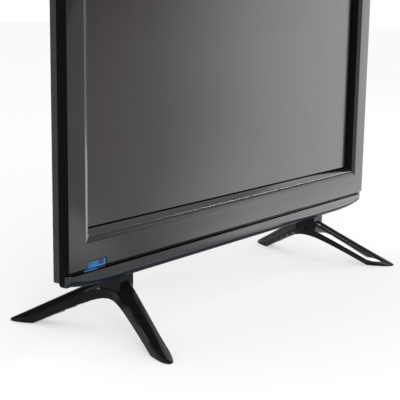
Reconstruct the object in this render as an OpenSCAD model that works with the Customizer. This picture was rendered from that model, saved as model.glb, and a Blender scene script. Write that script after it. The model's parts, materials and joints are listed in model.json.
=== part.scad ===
// Small flat-screen television on two splayed feet, as an assembly of its real pieces.
// X runs across the screen, Y from the viewer to the back, Z up from the table top.
// A depth is measured rearward from the front face of the bezel.

/* [Screen] */
// Width of the picture
active_w = 404.6; // [380:0.2:430]
// Height of the picture
active_h = 227.6; // [210:0.2:245]
// Dark margin of the cell that shows round the picture
cell_margin = 1; // [0.5:0.5:4]
// Depth of the screen surface behind the bezel face
screen_d = 7.8; // [6.5:0.1:8.4]

/* [Front bezel] */
// Flat face of the bezel at the sides and the top
flat_w = 17.9; // [14:0.1:24]
// Flat face of the bezel below the screen, down to the groove
flat_low = 19.8; // [17:0.1:28]
// Width of the sloped bevel round the screen
bevel_w = 4.6; // [3:0.1:8]
// Depth of the bevel
bevel_d = 2; // [1:0.1:3.5]
// Width of the slope between the bevel and the screen, at the sides and the top
wall_draft = 4.2; // [0.2:0.1:6]
// Width of that slope below the screen
ledge_low = 4.3; // [1:0.1:6]
// Depth of the bezel's side wall
bezel_d = 10.4; // [9.8:0.1:12]
// Plastic wall of the bezel
bezel_wall = 2.2; // [1.6:0.1:2.6]
// Radius of the bezel's corners
corner_r = 3; // [3:0.5:7]
// Height of the groove over the chin trim
groove_h = 2.8; // [1.6:0.1:4]
// Thickness of the rib in the groove
rib_t = 0.8; // [0.3:0.1:1]
// How far the rib stands behind the bezel face
rib_in = 0.8; // [0.5:0.1:3]

/* [Chin trim] */
// Height of the chin trim over the body's underside
chin_h = 9.7; // [7:0.1:14]
// Depth of the shelf that the chin trim sits on
chin_d = 5.2; // [4:0.1:6]
// How far the chin trim hangs below the body
chin_drop = 3.4; // [2:0.1:6]
// Height of the round lower edge of the chin trim
chin_round_h = 7.4; // [4:0.1:9]
// Depth of the round lower edge of the chin trim
chin_round_d = 6; // [4:0.1:8]
// Gap between the trim's ends and the bezel's sides
chin_end_gap = 0.5; // [0.5:0.5:8]
// Length over which each end of the trim curves up
chin_end_run = 52; // [15:1:100]
// Height that is left of the trim at its ends
chin_end_h = 6; // [5:0.1:9]
// Radius of the trim's front corners, seen from above
chin_corner_r = 4.5; // [2:0.1:6]

/* [Rear cover] */
// How far the rear cover is set in from the bezel's sides
cover_inset = 2; // [1:0.5:4]
// Plastic wall of the rear cover
cover_wall = 2.2; // [1.6:0.1:2.4]
// Depth of the rear cover's straight edge
skirt_d = 7.8; // [6.4:0.1:12]
// Depth of the slope from the edge to the flat back
slope_d = 6.4; // [5:0.1:12]
// Width of the slope at the sides and the top
slope_w = 14; // [8:0.5:20]
// Width of the electronics housing on the back
bulge_w = 300; // [290:1:340]
// Height of the electronics housing
bulge_h = 190; // [175:1:210]
// Depth of the electronics housing
bulge_d = 20; // [19:0.5:40]
// Height of the housing's underside over the body's underside
bulge_low = 15.5; // [14:0.5:20]
// Chamfer round the housing's back
bulge_chamfer = 4; // [2:0.5:6]

/* [Wall mount] */
// Spacing of the wall-mount holes, both ways
vesa = 75; // [60:5:75]
// Radius of the wall-mount thread
vesa_thread_r = 2; // [1.5:0.5:2.5]
// Outer radius of a threaded insert
insert_r = 3.2; // [3:0.1:4]
// Length of a threaded insert
insert_l = 9; // [6:0.5:10]

/* [Feet] */
// Height of the body's underside over the table
floor_gap = 54.5; // [50:0.5:80]
// Distance from the front toes to the rear toes
foot_depth = 171; // [150:0.5:190]
// How far the front toes stand ahead of the bezel face
foot_front = 62.4; // [55:0.1:70]
// Depth of the foot's apex behind the bezel face
apex_d = 22.1; // [21:0.1:24]
// Distance of each foot's neck from the middle
neck_x = 154; // [140:1:180]
// Width of the neck
neck_w = 16.5; // [15.5:0.5:24]
// Depth of the neck
neck_d = 22.6; // [16:0.2:22.8]
// Height of the arch under the foot
arch_z = 29; // [24:0.1:34]
// Height of the leg's top where it leaves the neck
leg_top_z = 44.6; // [40:0.1:48]
// Width of a leg at the neck
leg_w = 19; // [15:0.5:26]
// Width of a leg at the toe
toe_w = 12.5; // [11.5:0.5:20]
// Height of a leg's toe at its end
toe_h = 1.6; // [1:0.1:6]
// Length of the flat sole under a toe
sole_l = 22; // [15:1:30]
// How far a front toe stands out from the neck
toe_out_front = 33; // [0:0.5:40]
// How far a rear toe stands out from the neck
toe_out_rear = 35; // [0:0.5:50]
// Thickness of the rubber pad under a toe
pad_t = 1.2; // [0.8:0.1:2]
// How far a pad stands below the toe
pad_proud = 0.5; // [0.3:0.1:0.7]

/* [Keys] */
// Number of push keys on the right side is seven, this is their pitch
key_pitch = 13; // [12:0.5:16]
// Length of a key cap
key_l = 9; // [7:0.5:9.5]
// Width of a key cap
key_w = 4.4; // [3.6:0.1:4.6]
// How far a key stands out of the cover
key_proud = 0.8; // [0.7:0.1:1.2]
// Travel of a key
key_travel = 0.5; // [0.3:0.1:0.6]
// Running gap round a key
key_gap = 0.35; // [0.3:0.05:0.5]

/* [Remote eye] */
// Width of the blue window
eye_w = 20; // [14:0.5:26]
// Height of the blue window
eye_h = 5.3; // [4:0.1:8]
// Distance of the window's outer end from the bezel's side
eye_in = 20.5; // [14:0.5:40]
// Gap between the window and the edge of its hole
eye_gap = 0.5; // [0.2:0.1:1]
// How far the window's face stands behind the bezel face
eye_face_in = 0.5; // [0:0.1:1]

/* [Boards] */
// Thickness of a circuit board
pcb_t = 1.6; // [1:0.1:2]
// Length of a board standoff
standoff_l = 10; // [9.5:0.1:11]
// Height of the main and power boards
board_h = 78; // [74:1:90]
// Width of the main board
main_w = 136; // [124:1:150]
// Width of the power board
power_w = 112; // [100:1:125]

/* [Hidden] */
$fn = 32;
eps = 0.02;

// Fits
slip = 0.1;
push = 0.05;

// Outline of the body, from the picture outward
view_w = active_w + 2 * cell_margin;
view_h = active_h + 2 * cell_margin;
body_w = view_w + 2 * (flat_w + bevel_w + wall_draft);
chin_z0 = floor_gap - chin_drop;
chin_lip = 1;
chin_z1 = floor_gap + chin_h;
face_z0 = chin_z1 + groove_h;
view_z0 = face_z0 + flat_low + bevel_w + ledge_low;
view_cz = view_z0 + view_h / 2;
body_top = view_z0 + view_h + wall_draft + bevel_w + flat_w;
body_h = body_top - floor_gap;
body_cz = floor_gap + body_h / 2;
front_y = -foot_depth / 2 + foot_front;

// Depths of the body's layers
lip_t = 1.6;
steel_t = 0.6;
cell_t = 1.3;
sheet_t = 0.3;
guide_t = 2.9;
tray_t = 0.8;
lip_d = screen_d - steel_t;
ring_d0 = screen_d + cell_t;
prism_d = ring_d0 + sheet_t;
diffuser_d = prism_d + sheet_t;
guide_d = diffuser_d + sheet_t;
reflector_d = guide_d + guide_t;
tray_d = reflector_d + sheet_t;
tray_back = tray_d + tray_t;
board_d = tray_back + standoff_l;
board_back = board_d + pcb_t;
skirt_end = bezel_d + skirt_d;
flat_back = skirt_end + slope_d;
bulge_back = flat_back + bulge_d;

// Outline of the rear cover and its housing
cover_w = body_w - 2 * cover_inset;
cover_h = body_h - 2 * cover_inset;
cover_z0 = floor_gap + cover_inset;
cover_r = corner_r - 1;
back_w = cover_w - 2 * slope_w;
back_h = cover_h - slope_w;
back_cz = cover_z0 + back_h / 2;
bulge_z0 = floor_gap + bulge_low;
bulge_cz = bulge_z0 + bulge_h / 2;
bulge_r = 8;

// Wall-mount inserts, over the middle of the housing
insert_wall = 2;
vesa_places = [for (x = [-vesa / 2, vesa / 2], z = [0, vesa]) [x, bulge_cz + z]];

// Screen module
frame_side = 8.1;
frame_end = 9.8;
module_w = view_w + 2 * frame_side;
module_h = view_h + 2 * frame_end;
module_z0 = view_cz - module_h / 2;
cell_gap = 0.8;
window_margin = 1.5;
ring_low = 1.4;
ring_in = 2;
sheet_gap = 0.3;
sheet_w = view_w + 2 * (ring_in - sheet_gap);
sheet_h = view_h + 2 * (ring_in - sheet_gap);
strip_t = 1;
led_h = 1;
led_count = 24;
led_w = 3;
led_gap = 0.2;
strip_in = 2;
flex_count = 6;
flex_w = 16;
flex_t = 0.15;
source_w = 220;
source_h = 12;
source_up = 2;
source_z0 = module_z0 + source_up;
source_t = 1.2;

// Screws
screw_r = 1.5;
screw_head_r = 3;
screw_head_t = 2;
boss_r = 4;
boss_side_gap = 0.8;
boss_top_gap = 0.5;
boss_up = 16;
boss_over = 1;
boss_x = body_w / 2 - cover_inset - cover_wall - boss_r - boss_side_gap;
boss_top_z = body_top - cover_inset - cover_wall - boss_r - boss_top_gap;
boss_low_z = floor_gap + boss_up;
seat_t = 3;
skin = 1;
tip_gap = 0.5;
board_screw_r = 1.25;
board_head_r = 2.5;
board_head_t = 1.6;
standoff_r = 3;
board_screw_tip = 3;

// Places of the cover screws: sides, top and corners
side_screw_up = 55;
side_screw_down = 50;
side_screw_z = [boss_low_z, boss_low_z + side_screw_up, boss_top_z - side_screw_down, boss_top_z];
top_screw_x = 70;
cover_screws = [for (x = [-boss_x, boss_x], z = side_screw_z) [x, z],
                for (x = [-top_screw_x, top_screw_x]) [x, boss_top_z]];

// Feet
apex_y = front_y + apex_d;
front_run = apex_y + foot_depth / 2;
rear_run = foot_depth / 2 - apex_y;
arch_r = 15;
sole_z = pad_proud;
toe_r = 12;
toe_end = 0.25;
toe_steps = 7;
leg_steps = 14;
ridge_steps = 9;
band_share = 0.48;
step_rise = 0.05;
outer_base = 0.72;
inner_band = 0.41;
inner_rise = 0.26;
inner_base = 0.79;
flank_share = 0.7;
ridge_r = 0.68;
ridge_in = 0.4;
shoulder_in = 0.78;
plan_r = 8;
foot_screw_r = 1.75;
foot_head_r = 3.2;
foot_head_t = 2.6;
foot_screw_gap = 8;
foot_screw_down = 8;
foot_screw_z = floor_gap - foot_screw_down;
neck_sink = 4;
bracket_h = 9;
bracket_w = 22;
socket_wall = 2.2;
socket_side = 3.85;
socket_back = 3.2;
socket_h = 24;
pad_r = 4;
pad_inset = 14;
pocket_l = 7;
pocket_pitch = 9.5;
pocket_count = 4;
pocket_depth = 3.2;
pocket_open = 1;
pocket_start = 16;
pocket_share = 0.6;

// Keys on the right side of the rear cover
key_names = ["power", "source", "menu", "channel_up", "channel_down", "volume_up", "volume_down"];
key_count = len(key_names);
key_in = 3.4;
key_d = bezel_d + key_in;
key_z0 = view_cz - key_pitch * (key_count - 1) / 2;
cover_x = cover_w / 2;
flange_t = 1.2;
flange_w = 0.8;
flange_l = 1;
flange_gap = 1.2;
stem_l = 1;
stem_w = 3;
switch_gap = 0.35;
switch_t = 3.5;
switch_w = 4.4;
switch_l = 6;
plunger_t = 0.4;
plunger_r = 1.2;
flange_x1 = cover_x - cover_wall - flange_gap;
flange_x0 = flange_x1 - flange_t;
stem_x0 = flange_x0 - stem_l;
plunger_x1 = stem_x0 - key_travel - switch_gap;
switch_x1 = plunger_x1 - plunger_t;
switch_x0 = switch_x1 - switch_t;
key_pcb_t = 1.2;
key_pcb_w = 5.6;
key_pcb_over = 11;
key_rib = 3;
key_rib_in = 1;

// Remote eye
eye_x0 = -body_w / 2 + eye_in;
eye_x1 = eye_x0 + eye_w;
eye_z1 = face_z0 + eye_h;
eye_lip = 3.5;
eye_flange = 1.5;
eye_flange_t = 1;
eye_lip_in = 1;
lip_share = 0.8;
eye_board_d = chin_d + bezel_wall;
eye_board_over = 4;
eye_board_up = 6;
eye_board_gap = 1;
ir_w = 6;
ir_h = 6.7;
ir_gap = 0.3;
led_in = 3;
led_up = 2;
led_r = 1.5;

// Boards in the housing: each sits against its own side wall
board_up = 8;
board_side_gap = 1.8;
board_clear = 2;
board_z0 = bulge_z0 + board_up;
main_x1 = bulge_w / 2 - cover_wall - board_side_gap;
main_x0 = main_x1 - main_w;
power_x0 = -bulge_w / 2 + cover_wall + board_side_gap;
power_x1 = power_x0 + power_w;
hole_in = 5;
main_hole_in = 18;
power_hole_in = 8;
hole_z = [source_z0 + source_h + standoff_r + board_clear, board_z0 + board_h - hole_in];
main_holes = [for (x = [main_x0 + hole_in, main_x1 - main_hole_in], z = hole_z) [x, z]];
power_holes = [for (x = [power_x0 + power_hole_in, power_x1 - hole_in], z = hole_z) [x, z]];
ribbon_in = 30;
ribbon_w = 24;
ribbon_t = 0.4;
ribbon_lap = 2;
link_up = 60;
link_w = 6;
link_h = 8;
link_t = 4;
link_in = 4;
link_wire_t = 0.8;
link_wire_in = 1;

// Processor and its heatsink
chip = 20;
chip_t = 1.6;
chip_in = 66;
chip_up = 50;
chip_x = main_x1 - chip_in;
chip_z = board_z0 + chip_up;
sink = 34;
sink_base = 2;
fin_count = 7;
fin_t = 1.2;
fin_h = 6;

// Power board's large pieces
core_in = 86;
core_up = 46;
core_w = 24;
core_h = 24;
core_neck = 20;
core_base_t = 4;
core_t = 12.5;
cap_in = 42;
cap_up = 30;
cap_r = 6.5;
cap_l = 26;

// Sockets
port_gap = 0.4;
port_edge = 11;
port_space = 2;
port_proud = 3;
shell_t = 0.8;
tongue_in = 1.5;
hdmi_w = 15;
hdmi_t = 5.6;
hdmi_l = 12;
hdmi_tongue_w = 10;
hdmi_tongue_t = 1;
usb_w = 14.4;
usb_t = 6.8;
usb_l = 14;
usb_tongue_w = 11;
usb_tongue_t = 1.8;
vga_w = 31;
vga_t = 12;
vga_l = 14;
vga_rim = 2;
vga_mouth_w = 18;
vga_mouth_l = 5;
rca_count = 3;
rca_r = 4.2;
rca_bore_r = 2.6;
rca_body = 12;
rca_body_up = 1;
rca_l = 16;
rca_bore_l = 10;
rca_pitch = 14;
can_w = 26;
can_h = 18;
can_t = 9.8;
can_up = 2;
coax_r = 4.8;
coax_pin_r = 1;
coax_pin_in = 2;
coax_floor = 4;
jack_r = 3;
jack_bore_r = 1.8;
jack_w = 8;
jack_l = 12;
inlet_w = 20;
inlet_t = 13;
inlet_l = 18;
inlet_mouth_l = 12;
inlet_mouth_r = 3.7;
inlet_waist = 4.8;
pin_gap = 8.6;
pin_r = 1.2;
pin_in = 2;
side_port_up = 13.5;
usb_up = 35;
jack_up = 52;
inlet_up = 49;
port_low_z = bulge_z0;
port_side_x = bulge_w / 2;
hdmi_low_x = main_x1 - port_edge - hdmi_w / 2;
vga_x = hdmi_low_x - hdmi_w / 2 - port_space - vga_w / 2;
av_x = vga_x - vga_w / 2 - port_space - rca_body / 2 - (rca_count - 1) * rca_pitch;
coax_x = av_x - rca_body / 2 - port_space - can_w / 2;
coax_d = board_back + can_t / 2;
hdmi_side_z = board_z0 + side_port_up;
usb_z = board_z0 + usb_up;
jack_z = board_z0 + jack_up;
inlet_z = board_z0 + inlet_up;
inlet_d = board_back + inlet_t / 2;

// Speakers
speaker_x = 95;
speaker_w = 60;
speaker_h = 16;
speaker_gap = 0.5;
speaker_d0 = bezel_d + speaker_gap;
speaker_d1 = flat_back - cover_wall - speaker_gap;
cone_r = 4.4;
cone_x = 12;
cone_h = 4;
cone_in = 2;
slot_in = 1.5;
slot_count = 8;
slot_pitch = 6;
slot_w = 2.4;

// Vents over the housing
vent_count = 25;
vent_pitch = 8;
vent_w = 3;
vent_h = 34;
vent_up = 12;
vent_z = bulge_z0 + bulge_h + vent_up;

// Shapes that repeat

// Box between two limits across, in depth and in height
module slab(x0, x1, d0, d1, z0, z1) {
    translate([x0, front_y + d0, z0]) cube([x1 - x0, d1 - d0, z1 - z0]);
}

// Flat outline with round corners, centred
module round_rect(w, h, r) {
    square([w - 2 * r, h], center = true);
    square([w, h - 2 * r], center = true);
    for (x = [-1, 1], y = [-1, 1])
        translate([x * (w / 2 - r), y * (h / 2 - r)]) circle(r);
}

// Round-cornered plate facing the viewer, between two depths
module plate(w, h, r, d0, d1, cz) {
    translate([0, front_y + d1, cz]) rotate([90, 0, 0]) linear_extrude(d1 - d0) round_rect(w, h, r);
}

// Round bar along the depth
module rod(x, z, r, d0, d1) {
    translate([x, front_y + d0, z]) rotate([-90, 0, 0]) cylinder(r = r, h = d1 - d0);
}

// Upright round bar
module post(x, d, r, z0, z1) {
    translate([x, front_y + d, z0]) cylinder(r = r, h = z1 - z0);
}

// Round bar across
module bar(x0, x1, d, z, r) {
    translate([x0, front_y + d, z]) rotate([0, 90, 0]) cylinder(r = r, h = x1 - x0);
}

// Front bezel

// Thin sheet over the screen opening, grown at the sides and the top, and below
module opening_sheet(d0, d1, grow, grow_low) {
    slab(-view_w / 2 - grow, view_w / 2 + grow, d0, d1, view_z0 - grow_low, view_z0 + view_h + grow);
}

// Sloped bevel, then the steeper slope that runs back to the screen
module bezel_opening() {
    hull() {
        opening_sheet(-eps, 0, wall_draft + bevel_w, ledge_low + bevel_w);
        opening_sheet(bevel_d, bevel_d + eps, wall_draft, ledge_low);
    }
    hull() {
        opening_sheet(bevel_d, bevel_d + eps, wall_draft, ledge_low);
        opening_sheet(lip_d, lip_d + eps, 0, 0);
    }
    opening_sheet(lip_d, bezel_d + eps, 0, 0);
}

module front_bezel() {
    inner_w = body_w - 2 * bezel_wall;
    color([0.17, 0.17, 0.18]) {
        difference() {
            union() {
                difference() {
                    plate(body_w, body_h, corner_r, 0, bezel_d, body_cz);
                    difference() {
                        plate(inner_w, body_h - 2 * bezel_wall, corner_r - bezel_wall, bezel_wall,
                              bezel_d + eps, body_cz);
                        hull() {
                            opening_sheet(0, bezel_wall, wall_draft + lip_t, ledge_low + lip_t);
                            opening_sheet(lip_d - eps, lip_d, lip_t, lip_t);
                        }
                        slab(-inner_w / 2, inner_w / 2, 0, chin_d + bezel_wall,
                             floor_gap, face_z0 + bezel_wall);
                    }
                }
                for (p = cover_screws)
                    rod(p[0], p[1], boss_r, bezel_wall - eps, bezel_d);
            }
            bezel_opening();
            slab(-body_w, body_w, -eps, chin_d, floor_gap - eps, face_z0);
            slab(eye_x0, eye_x1, -eps, chin_d + bezel_wall + eps, face_z0 - eps, eye_z1);
            for (p = cover_screws)
                rod(p[0], p[1], screw_r + push, bezel_wall + skin, bezel_d + eps);
        }
        for (x = [[-body_w / 2 + chin_end_gap, eye_x0 - eye_lip - slip],
                  [eye_x1, body_w / 2 - chin_end_gap]])
            slab(x[0], x[1], rib_in, chin_d + eps,
                 chin_z1 + (groove_h - rib_t) / 2, chin_z1 + (groove_h + rib_t) / 2);
    }
}

// Outline of the trim bar at a depth behind the face, with its height reduced to a share
module chin_layer(depth, share) {
    steps = 15;
    rest = max(chin_corner_r - depth, 0);
    half = body_w / 2 - chin_end_gap - chin_corner_r + sqrt(chin_corner_r * chin_corner_r - rest * rest);
    fall = chin_z1 - chin_z0 - chin_end_h;
    end = [for (i = [0:steps]) let (t = 90 * i / steps)
        [half - chin_end_run * (1 - cos(t)), chin_z1 - share * (chin_end_h + fall * sin(t))]];
    left = [for (i = [steps:-1:0]) [-end[i][0], end[i][1]]];
    translate([0, front_y + depth + eps, 0]) rotate([90, 0, 0]) linear_extrude(eps)
        polygon(concat([[half, chin_z1]], end, left, [[-half, chin_z1]]));
}

// Trim bar whose lower edge rises at the ends, with a round lower edge and round front corners
module chin_trim() {
    steps = 9;
    chin_t = chin_z1 - chin_z0;
    under = [for (i = [0:steps]) let (t = 90 * i / steps)
        [chin_round_d * (1 - cos(t)), 1 - chin_round_h * (1 - sin(t)) / chin_t]];
    layers = concat(under, [[bezel_d - eps, 1 - chin_lip / chin_t]]);
    color([0.2, 0.2, 0.21]) difference() {
        union() for (i = [0:steps]) hull() {
            chin_layer(layers[i][0], layers[i][1]);
            chin_layer(layers[i + 1][0], layers[i + 1][1]);
        }
        slab(-body_w, body_w, chin_d, bezel_d + eps, floor_gap, chin_z1 + eps);
    }
}

// Rear cover

// The outer form of the cover, drawn in by a wall
module cover_form(wall) {
    side = 2 * wall;
    plate(cover_w - side, cover_h - side, cover_r - wall / 2, bezel_d - (wall > 0 ? eps : 0),
          skirt_end, body_cz);
    hull() {
        plate(cover_w - side, cover_h - side, cover_r - wall / 2, skirt_end - eps, skirt_end, body_cz);
        plate(back_w - side, back_h - side, cover_r - wall / 2, flat_back - wall - eps,
              flat_back - wall, back_cz);
    }
    hull() {
        plate(bulge_w - side, bulge_h - side, bulge_r - wall, flat_back - wall - eps,
              bulge_back - bulge_chamfer, bulge_cz);
        plate(bulge_w - side - 2 * bulge_chamfer, bulge_h - side - 2 * bulge_chamfer, bulge_r - wall,
              bulge_back - wall - eps, bulge_back - wall, bulge_cz);
    }
}

// The block over a foot's neck, drawn in by a wall
module foot_socket(x, wall) {
    half = bracket_w / 2 + socket_side - wall;
    slab(x - half, x + half, bezel_d + wall, apex_d + neck_d / 2 + socket_back - wall,
         cover_z0 + wall, cover_z0 + socket_h - wall);
}

module port_cuts() {
    low0 = port_low_z - eps;
    low1 = port_low_z + cover_wall + eps;
    side0 = port_side_x - cover_wall - eps;
    side1 = port_side_x + eps;
    back = board_back - port_gap;
    slab(hdmi_low_x - hdmi_w / 2 - port_gap, hdmi_low_x + hdmi_w / 2 + port_gap, back,
         board_back + hdmi_t + port_gap, low0, low1);
    slab(vga_x - vga_w / 2 - port_gap, vga_x + vga_w / 2 + port_gap, back,
         board_back + vga_t + port_gap, low0, low1);
    for (i = [0:rca_count - 1])
        post(av_x + i * rca_pitch, board_back + rca_body / 2, rca_r + port_gap, low0, low1);
    post(coax_x, coax_d, coax_r + port_gap, low0, low1);
    slab(side0, side1, back, board_back + hdmi_t + port_gap,
         hdmi_side_z - hdmi_w / 2 - port_gap, hdmi_side_z + hdmi_w / 2 + port_gap);
    slab(side0, side1, back, board_back + usb_t + port_gap,
         usb_z - usb_w / 2 - port_gap, usb_z + usb_w / 2 + port_gap);
    bar(side0, side1, board_back + jack_w / 2, jack_z, jack_r + port_gap);
    slab(-side1, -side0, back, board_back + inlet_t + port_gap,
         inlet_z - inlet_w / 2 - port_gap, inlet_z + inlet_w / 2 + port_gap);
}

module rear_cover() {
    color([0.09, 0.09, 0.1]) difference() {
        union() {
            difference() {
                union() {
                    cover_form(0);
                    for (x = [-neck_x, neck_x])
                        foot_socket(x, 0);
                }
                cover_form(cover_wall);
                for (x = [-neck_x, neck_x])
                    foot_socket(x, socket_wall);
            }
            for (p = cover_screws)
                rod(p[0], p[1], boss_r, bezel_d, skirt_end + boss_over);
            for (p = vesa_places)
                rod(p[0], p[1], insert_r + insert_wall, bulge_back - insert_l - insert_wall,
                    bulge_back - cover_wall + eps);
            for (z = [key_z0 - key_pcb_over, key_z0 + key_pitch * (key_count - 1) + key_pcb_over - key_rib])
                slab(switch_x0, cover_x - cover_wall + eps, bezel_d + key_rib_in, skirt_end, z, z + key_rib);
        }
        for (p = cover_screws) {
            rod(p[0], p[1], screw_r + slip, bezel_d - eps, flat_back);
            rod(p[0], p[1], screw_head_r + slip, bezel_d + seat_t, flat_back);
        }
        for (p = vesa_places)
            rod(p[0], p[1], insert_r + push, bulge_back - insert_l, bulge_back + eps);
        for (i = [0:key_count - 1]) {
            z = key_z0 + i * key_pitch;
            slab(cover_x - cover_wall - eps, cover_x + eps, key_d - key_w / 2 - key_gap,
                 key_d + key_w / 2 + key_gap, z - key_l / 2 - key_gap, z + key_l / 2 + key_gap);
        }
        for (x = [-neck_x, neck_x], s = [-1, 1])
            post(x + s * foot_screw_gap / 2, apex_d, foot_screw_r + slip, cover_z0 - eps,
                 cover_z0 + socket_wall + eps);
        for (x = [-speaker_x, speaker_x], i = [0:slot_count - 1]) {
            slot_x = x + (i - (slot_count - 1) / 2) * slot_pitch;
            slab(slot_x - slot_w / 2, slot_x + slot_w / 2, speaker_d0 + slot_in, skirt_end,
                 cover_z0 - eps, cover_z0 + cover_wall + eps);
        }
        for (i = [0:vent_count - 1]) {
            x = (i - (vent_count - 1) / 2) * vent_pitch;
            slab(x - vent_w / 2, x + vent_w / 2, flat_back - cover_wall - eps, flat_back + eps,
                 vent_z, vent_z + vent_h);
        }
        port_cuts();
    }
}

module rear_cover_screws() {
    color("dimgray") for (p = cover_screws) {
        rod(p[0], p[1], screw_r, bezel_wall + skin + tip_gap, bezel_d + seat_t + eps);
        rod(p[0], p[1], screw_head_r, bezel_d + seat_t, bezel_d + seat_t + screw_head_t);
    }
}

module vesa_inserts() {
    color("goldenrod") for (p = vesa_places)
        difference() {
            rod(p[0], p[1], insert_r, bulge_back - insert_l, bulge_back);
            rod(p[0], p[1], vesa_thread_r, bulge_back - insert_l + skin, bulge_back + eps);
        }
}

// Remote eye

module ir_window() {
    color([0.1, 0.4, 0.9, 0.7]) {
        slab(eye_x0 + eye_gap, eye_x1 - eye_gap, eye_face_in, bezel_wall + eps, face_z0, eye_z1 - eye_gap);
        slab(eye_x0 - eye_flange, eye_x1 + eye_flange, bezel_wall, bezel_wall + eye_flange_t,
             face_z0 + bezel_wall, eye_z1 + eye_flange);
        slab(eye_x0 - eye_lip, eye_x1 - eye_gap, eye_lip_in, chin_d, face_z0 - groove_h * lip_share, face_z0);
    }
}

module ir_board() {
    color("darkgreen")
        slab(eye_x0 - eye_board_over, eye_x1 + eye_board_over, eye_board_d, eye_board_d + pcb_t,
             floor_gap + eye_board_up, module_z0 - eye_board_gap);
}

module ir_receiver() {
    eye_x = (eye_x0 + eye_x1) / 2;
    z0 = face_z0 + bezel_wall + ir_gap;
    color([0.1, 0.1, 0.1])
        slab(eye_x - ir_w / 2, eye_x + ir_w / 2, bezel_wall + eye_flange_t + tip_gap, eye_board_d,
             z0, z0 + ir_h);
}

module standby_led() {
    color("red") rod(eye_x1 - led_in, face_z0 + bezel_wall + led_up, led_r,
                     bezel_wall + eye_flange_t + tip_gap, eye_board_d);
}

// Feet

// Distance along a leg as a share of its run, with a round start at the neck
function bend(a, r) = sqrt(a * a + r * r) - r;
function spread(a, run) = bend(a, plan_r) / bend(run, plan_r);
function leg_run(y) = y < 0 ? front_run : rear_run;
function leg_out(y) = (y < 0 ? toe_out_front : toe_out_rear) * spread(abs(y), leg_run(y));
function arch_share(y) = bend(abs(y), arch_r) / bend(leg_run(y) - sole_l, arch_r);
function under_z(y) = max(sole_z, arch_z - (arch_z - sole_z) * arch_share(y));
function top_share(y) = max(0, abs(y) - neck_d / 2) / (leg_run(y) - neck_d / 2);
function top_z(y) = leg_top_z - (leg_top_z - toe_h - sole_z) * top_share(y);
function toe_share(a, run) = max(0, a - run + toe_r) / toe_r;
function toe_in(a, run) = sqrt(1 - (1 - toe_end * toe_end) * pow(toe_share(a, run), 2));
function leg_taper(y) = leg_w + (toe_w - leg_w) * abs(y) / leg_run(y);
function half_w(y) = leg_taper(y) / 2 * toe_in(abs(y), leg_run(y));

// A leg's outline across: a flat band, a ledge and a leaning flank on the outer side, a round ridge
// towards the inner side, and a wide chamfer over a lower band there
function leg_outline(w, z0, h, ridge) = concat(
    [[w, z0], [w, z0 + band_share * h], [w * outer_base, z0 + (band_share + step_rise) * h]],
    [for (i = [0:2 * ridge_steps]) let (t = 90 * i / ridge_steps)
        [w * ((t < 90 ? ridge_r : shoulder_in - ridge) * cos(t) - ridge),
         z0 + h * (flank_share + (1 - flank_share) * sin(t))]],
    [[-w * inner_base, z0 + (inner_band + inner_rise) * h], [-w, z0 + inner_band * h], [-w, z0]]);
function ridge_share(y) = ridge_in * (1 - pow(y / leg_run(y), 2));
function leg_section(y) =
    [for (p = leg_outline(half_w(y), under_z(y), top_z(y) - under_z(y), ridge_share(y)))
        [leg_out(y) + p[0], y, p[1]]];

// Places along a leg where its outline is drawn: close together round the toe
function toe_places(run) = [for (i = [0:toe_steps - 1]) run - toe_r * (1 - cos(90 * i / toe_steps))];
function leg_places(run) = [for (i = [0:leg_steps - 1]) (run - toe_r) * (1 - i / leg_steps)];
foot_places = concat([for (a = concat(toe_places(front_run), leg_places(front_run))) -a], [0],
                     [for (i = [leg_steps - 1:-1:0]) leg_places(rear_run)[i]],
                     [for (i = [toe_steps - 1:-1:0]) toe_places(rear_run)[i]]);

// Both legs of one foot as a single run of outlines
module legs() {
    rings = [for (y = foot_places) leg_section(y)];
    n = len(rings[0]);
    count = len(rings);
    points = [for (ring = rings, p = ring) p];
    sides = [for (i = [0:count - 2], j = [0:n - 1], half = [0, 1])
        let (k = (j + 1) % n, a = i * n + j, b = i * n + k, c = (i + 1) * n + k, d = (i + 1) * n + j)
        half == 0 ? [a, b, c] : [a, c, d]];
    first = [for (j = [n - 1:-1:0]) j];
    last = [for (j = [0:n - 1]) (count - 1) * n + j];
    polyhedron(points, concat(sides, [first, last]));
}

// Left foot's shape in its own place beside the neck; toes stand out towards +X here
module foot() {
    difference() {
        union() {
            translate([0, apex_y, 0]) legs();
            translate([-neck_w / 2, apex_y - neck_d / 2, arch_z + neck_sink])
                cube([neck_w, neck_d, cover_z0 - arch_z - neck_sink]);
        }
        for (s = [-1, 1]) translate([s * foot_screw_gap / 2, apex_y, 0]) {
            cylinder(r = foot_screw_r + slip, h = cover_z0 + eps);
            cylinder(r = foot_head_r + slip, h = foot_screw_z);
        }
        for (y = [-front_run + pad_inset, rear_run - pad_inset])
            translate([leg_out(y), apex_y + y, 0]) cylinder(r = pad_r + push, h = pad_t);
        for (side = [-1, 1], i = [0:pocket_count - 1])
            leg_pocket(side * (pocket_start + i * pocket_pitch));
    }
}

// Hollow in a leg's underside, open to the inner side on the rear leg; between two of them stands a rib
module leg_pocket(y) {
    w = leg_taper(y) * pocket_share / 2;
    inner = y > 0 ? leg_taper(y) / 2 + pocket_open : w;
    near = y - pocket_l / 2;
    far = y + pocket_l / 2;
    translate([0, apex_y, 0]) linear_extrude(under_z(y) + pocket_depth)
        polygon([[leg_out(near) - inner, near], [leg_out(near) + w, near],
                 [leg_out(far) + w, far], [leg_out(far) - inner, far]]);
}

module left_foot() {
    color([0.05, 0.05, 0.055]) translate([-neck_x, 0, 0]) mirror([1, 0, 0]) foot();
}

module right_foot() {
    color([0.05, 0.05, 0.055]) translate([neck_x, 0, 0]) foot();
}

module foot_pads() {
    color([0.12, 0.12, 0.12]) for (side = [-1, 1], y = [-front_run + pad_inset, rear_run - pad_inset])
        translate([side * (neck_x + leg_out(y)), apex_y + y, 0]) cylinder(r = pad_r, h = pad_t);
}

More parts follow.
